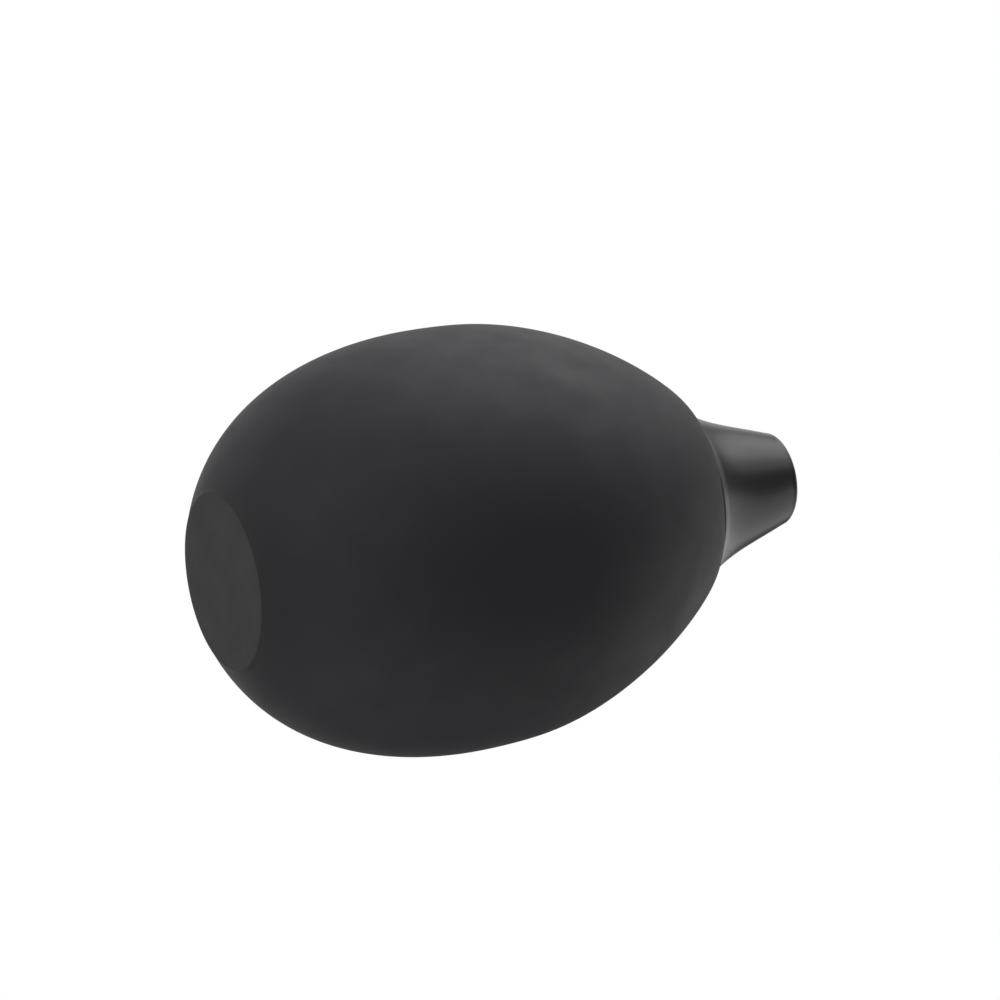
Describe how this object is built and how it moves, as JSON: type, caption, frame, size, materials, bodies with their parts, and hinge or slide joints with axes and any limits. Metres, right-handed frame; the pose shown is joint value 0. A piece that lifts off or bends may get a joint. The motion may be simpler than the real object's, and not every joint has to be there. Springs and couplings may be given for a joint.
{
  "type": "dust blower bulb",
  "caption": "Hand-squeezed rubber blower bulb on a flat base, with a screw-in flared nozzle and one-way valves in its neck, for blowing dust off watch parts.",
  "frame": {"origin": "centre of the flat base face, which the blower stands on", "axes": "+Z along the axis of the bulb, from the base to the nozzle's jet; X and Y are equivalent"},
  "size_m": [0.0602, 0.0602, 0.0895],
  "materials": {
    "bulb_rubber": "matte moulded rubber, black",
    "nozzle_plastic": "satin moulded plastic, black",
    "seal_rubber": "smooth moulded rubber, black",
    "collar_plastic": "natural moulded nylon, off-white",
    "retainer_plastic": "moulded plastic, grey",
    "seat_plastic": "natural moulded nylon, off-white",
    "valve_silicone": "thin translucent silicone, cream"
  },
  "bodies": {
    "bulb": {"bulb": "bulb_rubber"},
    "neck": {"neck_collar": "collar_plastic", "flap_retainer": "retainer_plastic", "valve_seat": "seat_plastic"},
    "intake_flap": {"intake_flap": "valve_silicone"},
    "exhaust_valve": {"exhaust_valve": "valve_silicone"},
    "nozzle_seal": {"nozzle_seal": "seal_rubber"},
    "nozzle": {"nozzle": "nozzle_plastic"}
  },
  "joints": [
    {"name": "squeeze", "type": "slide", "parent": "bulb", "child": "neck", "axis": [0, 0, -1], "range_m": [0, 0.02], "stiffness_N_per_m": 1500, "deforming": ["bulb"]},
    {"name": "intake_flap_drop", "type": "slide", "parent": "neck", "child": "intake_flap", "axis": [0, 0, -1], "range_m": [0, 0.0008], "stiffness_N_per_m": 20},
    {"name": "exhaust_valve_lift", "type": "slide", "parent": "neck", "child": "exhaust_valve", "axis": [0, 0, 1], "range_m": [0, 0.0008], "stiffness_N_per_m": 20},
    {"name": "nozzle_lift", "type": "slide", "parent": "neck", "child": "nozzle_seal", "axis": [0, 0, 1], "range_m": [0, 0.003]},
    {"name": "nozzle_unscrew", "type": "hinge", "parent": "nozzle_seal", "child": "nozzle", "pos_m": [0, 0, 0.07265], "axis": [0, 0, 1], "range_deg": [0, 720]}
  ],
  "couplings": [
    {"joint": "nozzle_lift", "follows": "nozzle_unscrew", "m_per_rad": 0.00023873}
  ]
}
